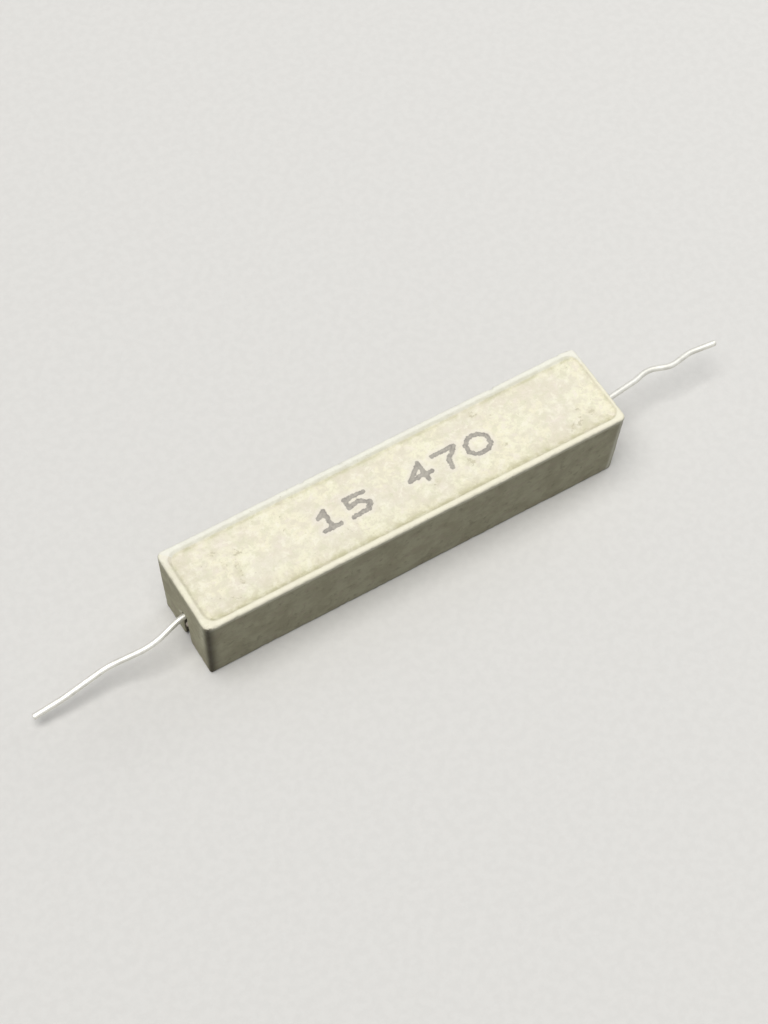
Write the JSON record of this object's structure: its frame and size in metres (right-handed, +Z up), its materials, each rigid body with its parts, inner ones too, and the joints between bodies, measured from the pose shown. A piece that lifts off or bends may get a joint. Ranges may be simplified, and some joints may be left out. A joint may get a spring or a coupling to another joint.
{
  "type": "axial resistor",
  "caption": "Axial wire-wound power resistor: a potted ceramic trough with a framed top and a bent tinned lead at each end.",
  "frame": {"origin": "centre of the underside of the case, where it rests on a surface", "axes": "+X along the body towards the right lead, +Z up through the framed top face"},
  "size_m": [0.1004, 0.0126, 0.012],
  "materials": {
    "ceramic": "matte unglazed ceramic, stained and pitted",
    "cement": "rough potting cement",
    "core": "smooth unglazed rod",
    "resistance_wire": "drawn nickel-chromium wire",
    "cap_steel": "pressed, plated steel",
    "tinned_lead": "tinned copper wire, lightly scuffed"
  },
  "bodies": {
    "root": {"ceramic_case": "ceramic", "cement_fill": "cement", "core_rod": "core", "resistance_winding": "resistance_wire", "end_cap_left": "cap_steel", "end_cap_right": "cap_steel", "lead_left": "tinned_lead", "lead_right": "tinned_lead"}
  },
  "joints": []
}
